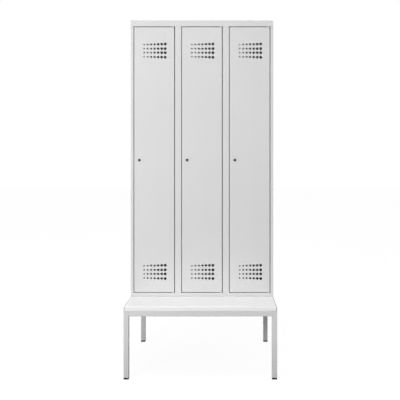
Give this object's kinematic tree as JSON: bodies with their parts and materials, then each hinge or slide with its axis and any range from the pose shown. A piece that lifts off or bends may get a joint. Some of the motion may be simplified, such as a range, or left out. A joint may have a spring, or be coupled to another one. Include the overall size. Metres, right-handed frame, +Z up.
{
  "type": "clothes locker with bench",
  "caption": "Steel clothes locker with side-by-side hinged perforated doors on a square-tube stand that carries a seat board in front.",
  "frame": {"origin": "on the floor, in the middle of the footprint of the stand", "axes": "+Z up, the doors and the seat face -Y, +X to the right seen from the front"},
  "size_m": [0.9, 0.775, 2.1708],
  "materials": {
    "powder_coated_steel": "light grey powder coat, fine texture, satin",
    "seat_laminate": "pale grey laminated board with rounded edges, satin",
    "black_plastic": "moulded black plastic, fine grain",
    "lock_nickel": "black-nickel-plated, turned, satin",
    "zinc_plated_steel": "bright zinc-plated steel"
  },
  "bodies": {
    "cabinet": {"leg_front_left": "powder_coated_steel", "leg_front_right": "powder_coated_steel", "leg_rear_left": "powder_coated_steel", "leg_rear_right": "powder_coated_steel", "front_rail": "powder_coated_steel", "cross_rail": "powder_coated_steel", "rear_rail": "powder_coated_steel", "side_rail_left": "powder_coated_steel", "side_rail_right": "powder_coated_steel", "foot_front_left": "black_plastic", "foot_front_right": "black_plastic", "foot_rear_left": "black_plastic", "foot_rear_right": "black_plastic", "seat_board": "seat_laminate", "side_panel_left": "powder_coated_steel", "side_panel_right": "powder_coated_steel", "top_panel": "powder_coated_steel", "floor_panel": "powder_coated_steel", "back_panel": "powder_coated_steel", "mullion_left_middle": "powder_coated_steel", "mullion_middle_right": "powder_coated_steel", "partition_left_middle": "powder_coated_steel", "partition_middle_right": "powder_coated_steel", "hat_shelf_left": "powder_coated_steel", "hat_shelf_middle": "powder_coated_steel", "hat_shelf_right": "powder_coated_steel", "coat_rail_left": "zinc_plated_steel", "coat_rail_middle": "zinc_plated_steel", "coat_rail_right": "zinc_plated_steel", "hinge_pin_left_bottom": "zinc_plated_steel", "hinge_pin_left_top": "zinc_plated_steel", "hinge_pin_middle_bottom": "zinc_plated_steel", "hinge_pin_middle_top": "zinc_plated_steel", "hinge_pin_right_bottom": "zinc_plated_steel", "hinge_pin_right_top": "zinc_plated_steel"},
    "door_left": {"door_panel_left": "powder_coated_steel", "door_stiffener_left": "powder_coated_steel", "lock_housing_left": "lock_nickel", "lock_nut_left": "zinc_plated_steel"},
    "door_middle": {"door_panel_middle": "powder_coated_steel", "door_stiffener_middle": "powder_coated_steel", "lock_housing_middle": "lock_nickel", "lock_nut_middle": "zinc_plated_steel"},
    "door_right": {"door_panel_right": "powder_coated_steel", "door_stiffener_right": "powder_coated_steel", "lock_housing_right": "lock_nickel", "lock_nut_right": "zinc_plated_steel"},
    "lock_left": {"lock_plug_left": "lock_nickel", "lock_cam_left": "zinc_plated_steel"},
    "lock_middle": {"lock_plug_middle": "lock_nickel", "lock_cam_middle": "zinc_plated_steel"},
    "lock_right": {"lock_plug_right": "lock_nickel", "lock_cam_right": "zinc_plated_steel"},
    "hook_left_a": {"coat_hook_left_a": "zinc_plated_steel"},
    "hook_left_b": {"coat_hook_left_b": "zinc_plated_steel"},
    "hook_middle_a": {"coat_hook_middle_a": "zinc_plated_steel"},
    "hook_middle_b": {"coat_hook_middle_b": "zinc_plated_steel"},
    "hook_right_a": {"coat_hook_right_a": "zinc_plated_steel"},
    "hook_right_b": {"coat_hook_right_b": "zinc_plated_steel"}
  },
  "joints": [
    {"name": "door_left_hinge", "type": "hinge", "parent": "cabinet", "child": "door_left", "pos_m": [-0.18383, -0.1065, 1.29055], "axis": [0, 0, 1], "range_deg": [0, 110]},
    {"name": "door_middle_hinge", "type": "hinge", "parent": "cabinet", "child": "door_middle", "pos_m": [0.11783, -0.1065, 1.29055], "axis": [0, 0, 1], "range_deg": [0, 110]},
    {"name": "door_right_hinge", "type": "hinge", "parent": "cabinet", "child": "door_right", "pos_m": [0.4195, -0.1065, 1.29055], "axis": [0, 0, 1], "range_deg": [0, 110]},
    {"name": "lock_left_turn", "type": "hinge", "parent": "door_left", "child": "lock_left", "pos_m": [-0.3955, -0.1125, 1.28805], "axis": [0, 1, 0], "range_deg": [0, 90]},
    {"name": "lock_middle_turn", "type": "hinge", "parent": "door_middle", "child": "lock_middle", "pos_m": [-0.09383, -0.1125, 1.28805], "axis": [0, 1, 0], "range_deg": [0, 90]},
    {"name": "lock_right_turn", "type": "hinge", "parent": "door_right", "child": "lock_right", "pos_m": [0.20783, -0.1125, 1.28805], "axis": [0, 1, 0], "range_deg": [0, 90]},
    {"name": "hook_left_a_slide", "type": "slide", "parent": "cabinet", "child": "hook_left_a", "axis": [1, 0, 0], "range_m": [-0.08, 0.055]},
    {"name": "hook_left_b_slide", "type": "slide", "parent": "cabinet", "child": "hook_left_b", "axis": [1, 0, 0], "range_m": [-0.055, 0.08]},
    {"name": "hook_middle_a_slide", "type": "slide", "parent": "cabinet", "child": "hook_middle_a", "axis": [1, 0, 0], "range_m": [-0.08, 0.055]},
    {"name": "hook_middle_b_slide", "type": "slide", "parent": "cabinet", "child": "hook_middle_b", "axis": [1, 0, 0], "range_m": [-0.055, 0.08]},
    {"name": "hook_right_a_slide", "type": "slide", "parent": "cabinet", "child": "hook_right_a", "axis": [1, 0, 0], "range_m": [-0.08, 0.055]},
    {"name": "hook_right_b_slide", "type": "slide", "parent": "cabinet", "child": "hook_right_b", "axis": [1, 0, 0], "range_m": [-0.055, 0.08]}
  ]
}
